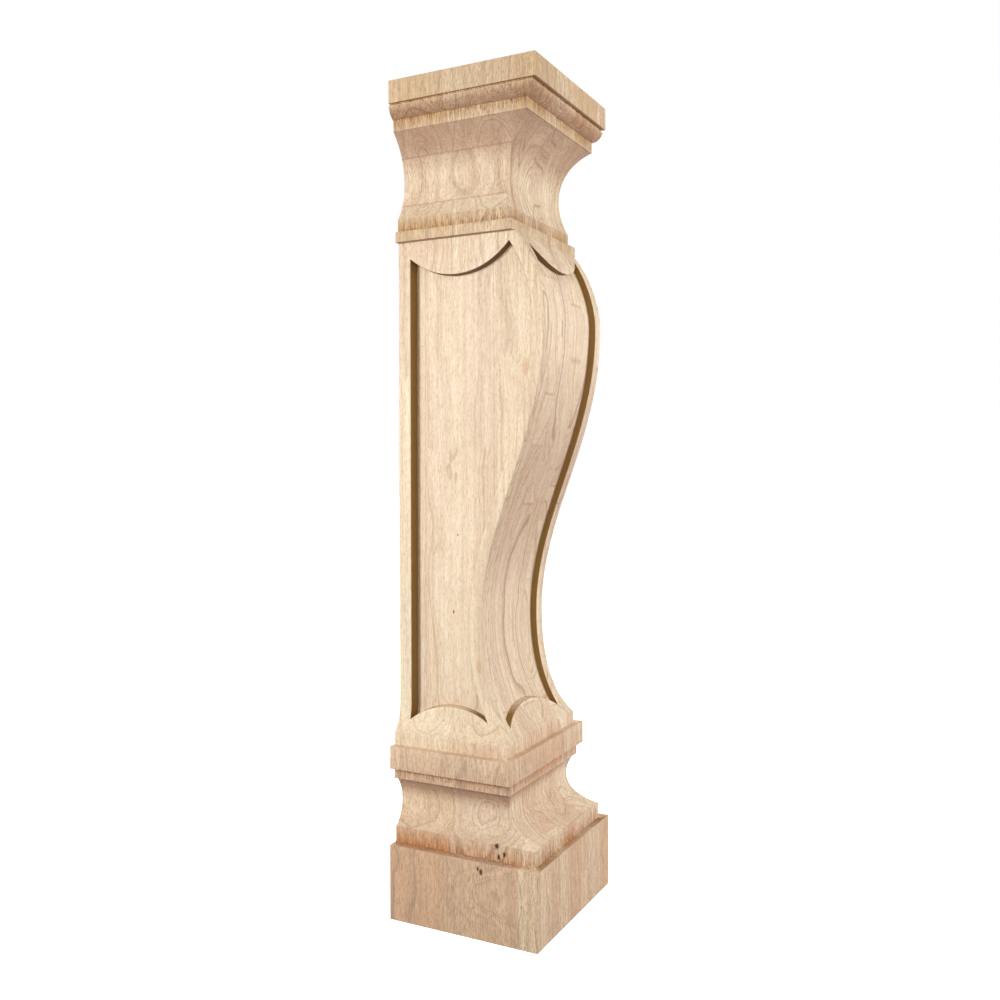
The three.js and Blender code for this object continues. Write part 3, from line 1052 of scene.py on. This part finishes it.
# %% Painted shade, painted highlights and the cutter's scorch
SIDE_ON, DOWN = -0.08, -0.45
STEEP, LEVEL = 0.93, 0.99


def worked(add, colour, normal_z):
    """The colour with painted highlights on softened edges, painted shade on faces that look down, on the
    panel walls and on the plinth ledge, and the cutter's scorch on the walls.
    """
    softened, routed, sawn = (
        add("Attribute", take="Fac", attribute_name=name) for name in ("softened", "routed", "sawn")
    )
    facing_down = add("MapRange", normal_z, SIDE_ON, DOWN)
    facing_up = add("MapRange", normal_z, STEEP, LEVEL)
    # A painted highlight along the softened edges, partly the paler fresh wood of sanding.
    colour = coated(add, colour, "softened edge highlight", softened)
    # Painted mauve shade on faces that look down, partly the darker cross-cut grain.
    colour = stained(add, colour, "cross-cut and shaded", facing_down)
    # Walls painted dark, partly the cutter's scorch and partly painted shade. Walls that look up are left
    # pale, as if lit.
    colour = coated(add, colour, "scorched_and_shaded", add("Math", routed, facing_up, operation="SUBTRACT"))
    # Painted shade on the walls that look down, under the tongues.
    colour = coated(add, colour, "underside_shade", add("Math", routed, facing_down, operation="MULTIPLY"))
    # Painted shade on the front of the plinth ledge, darkest at the near corner.
    return coated(add, colour, "sawn", sawn)


# The walls' coat is partly scorch and partly painted shade. The coat under the tongues is painted shade.
print("walls scorched", COATS["scorched_and_shaded"][0], "and charred", COATS["underside_shade"][0])

# %% [markdown]
# Sanded rubberwood. Bare sanded wood is nearly matt. The fibres that the paper left standing scatter a
# little more light than the ground between them, so the roughness follows the fibres. Fibres and pores
# are a relief of a few hundredths of a millimetre, which a bump gives without any more mesh.

# %% Sanded rubberwood
ROUGHNESS = 0.55, 0.72
FIBRES_FROM, FIBRES_TO = 0.3, 0.7
PORE_DEPTH = -1.5
BUMP_SHARE, BUMP_HEIGHT = 0.25, 0.3
SHINE = 0.3


def wood(name):
    material = bpy.data.materials.new(name)
    material.use_nodes = True
    tree = material.node_tree
    add = partial(node, tree)
    shader = tree.nodes["Principled BSDF"]
    place, x, y, z = place_in_block(add)
    from_side, from_joint, chance, middle_x, middle_y = boards(add, x, y, z)
    broad, lines, offset = rings(add, place, x, y, z, chance, middle_x, middle_y)
    chances = add("SeparateXYZ", chance).node.outputs
    colour, end_tan = tones(add, place, z, chances["Y"], chances["Z"])
    normal = add("SeparateXYZ", add("TexCoord", take="Normal")).node.outputs
    colour, fibres, pores = figured(add, place, colour, end_tan, normal["Y"], broad, lines, offset)
    colour = stained(add, colour, "glue", joints(add, from_side, from_joint, x))
    colour = worked(add, colour, normal["Z"])
    roughness = add("MapRange", fibres, FIBRES_FROM, FIBRES_TO, *ROUGHNESS)
    relief = add("Math", pores, PORE_DEPTH, fibres, operation="MULTIPLY_ADD")
    bump = add("Bump", sockets={"Strength": BUMP_SHARE, "Distance": BUMP_HEIGHT * MM, "Height": relief})
    tree.links.new(marks(add, place, colour), shader.inputs["Base Color"])
    tree.links.new(roughness, shader.inputs["Roughness"])
    tree.links.new(bump, shader.inputs["Normal"])
    shader.inputs["Specular IOR Level"].default_value = SHINE
    print(name, "uses", len(tree.nodes), "nodes")
    return material


leg_mesh.materials.append(wood("rubberwood_sanded"))

# %% [markdown]
# The floor. The leg stands on a sheet of matt white acrylic that runs out of the picture on all sides. It
# glows faintly, as a light table does, so it is as white as the wall behind it and shows no horizon.

# %% Floor
FLOOR_HALF = 12.0
MATT = 0.9
GLOW = 0.95
WHITE = linear("#FFFFFF")
corners = [(-1, -1), (1, -1), (1, 1), (-1, 1)]
floor_mesh = bpy.data.meshes.new("studio_floor")
floor_mesh.from_pydata([(x * FLOOR_HALF, y * FLOOR_HALF, 0) for x, y in corners], [], [(0, 1, 2, 3)])
floor = bpy.data.objects.new("studio_floor", floor_mesh)
bpy.context.scene.collection.objects.link(floor)
floor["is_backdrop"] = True
opal = bpy.data.materials.new("opal_acrylic_matt")
opal.use_nodes = True
sheet = opal.node_tree.nodes["Principled BSDF"]
sheet.inputs["Base Color"].default_value = linear("#F4F3F1")
sheet.inputs["Roughness"].default_value = MATT
sheet.inputs["Emission Color"].default_value = WHITE
sheet.inputs["Emission Strength"].default_value = GLOW
floor_mesh.materials.append(opal)
floor.visible_diffuse = False
print("floor", 2 * FLOOR_HALF, "m wide")

# %% [markdown]
# The lights. Two soft round lamps do the work: one a little behind the left side, which lights the side
# panels evenly, and one to the right of the front, which grazes the S. A weaker lamp beside the camera
# keeps the near edge from going grey. Two more, behind on the right and overhead, light the far side, the
# back and the top, which other views show. The room adds a little warm light, as bare wood does in it.

# %% Light the studio
ROOM_LIGHT = 0.3
ROOM_COLOUR = linear("#FFF1DE")
LOOK_AT = 0.45
world = bpy.data.worlds.new("studio")
bpy.context.scene.world = world
world.use_nodes = True
add_to_world = partial(node, world.node_tree)
seen_directly = add_to_world("LightPath", take="Is Camera Ray")
strength = add_to_world("MapRange", seen_directly, 0, 1, ROOM_LIGHT, 1.0)
room_or_white = {UNDER: ROOM_COLOUR, OVER: WHITE}
tint = add_to_world("Mix", seen_directly, sockets=room_or_white, take=MIXED, data_type="RGBA")
backdrop = world.node_tree.nodes["Background"]
world.node_tree.links.new(tint, backdrop.inputs["Color"])
world.node_tree.links.new(strength, backdrop.inputs["Strength"])
bpy.context.scene.view_settings.view_transform = "Standard"


def add_light(name, azimuth, height, distance, size, power, colour):
    """A round soft light that looks at the leg. Azimuth 0 is in front, 90 is on the +X side."""
    light = bpy.data.lights.new(name, "AREA")
    light.shape = "DISK"
    light.size = size
    light.energy = power
    light.color = colour
    lamp = bpy.data.objects.new(name, light)
    turn, rise = math.radians(azimuth), math.atan2(height - LOOK_AT, distance)
    lamp.location = (math.sin(turn) * distance, -math.cos(turn) * distance, height)
    lamp.rotation_euler = (math.pi / 2 - rise, 0, turn)
    bpy.context.scene.collection.objects.link(lamp)
    print(name, "at", round(azimuth), "degrees,", power, "W")


add_light("key_side", -112, 0.75, 1.4, 0.45, 16.2, (1, 0.985, 0.955))
add_light("key_front", 20, 0.7, 1.5, 0.6, 19, (1, 0.985, 0.975))
add_light("fill_camera", -60, 0.9, 2.2, 1.2, 9, (1, 0.97, 0.93))
add_light("behind_right", 128, 0.8, 1.8, 0.9, 20, (1, 0.985, 0.96))
add_light("overhead", 0, 2.3, 0.1, 0.9, 10, (1, 0.985, 0.96))

# %% [markdown]
# The last step. The box of the dressed leg has to be the box of the solid, since other parts meet it there.
# Both boxes are printed, and the frame is finished.

# %% Print the two boxes and finish
boxes = {"cad": cad_box, "visual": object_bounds()}
boxes = {name: [list(map(float, corner)) for corner in box] for name, box in boxes.items()}
print("boxes", boxes)
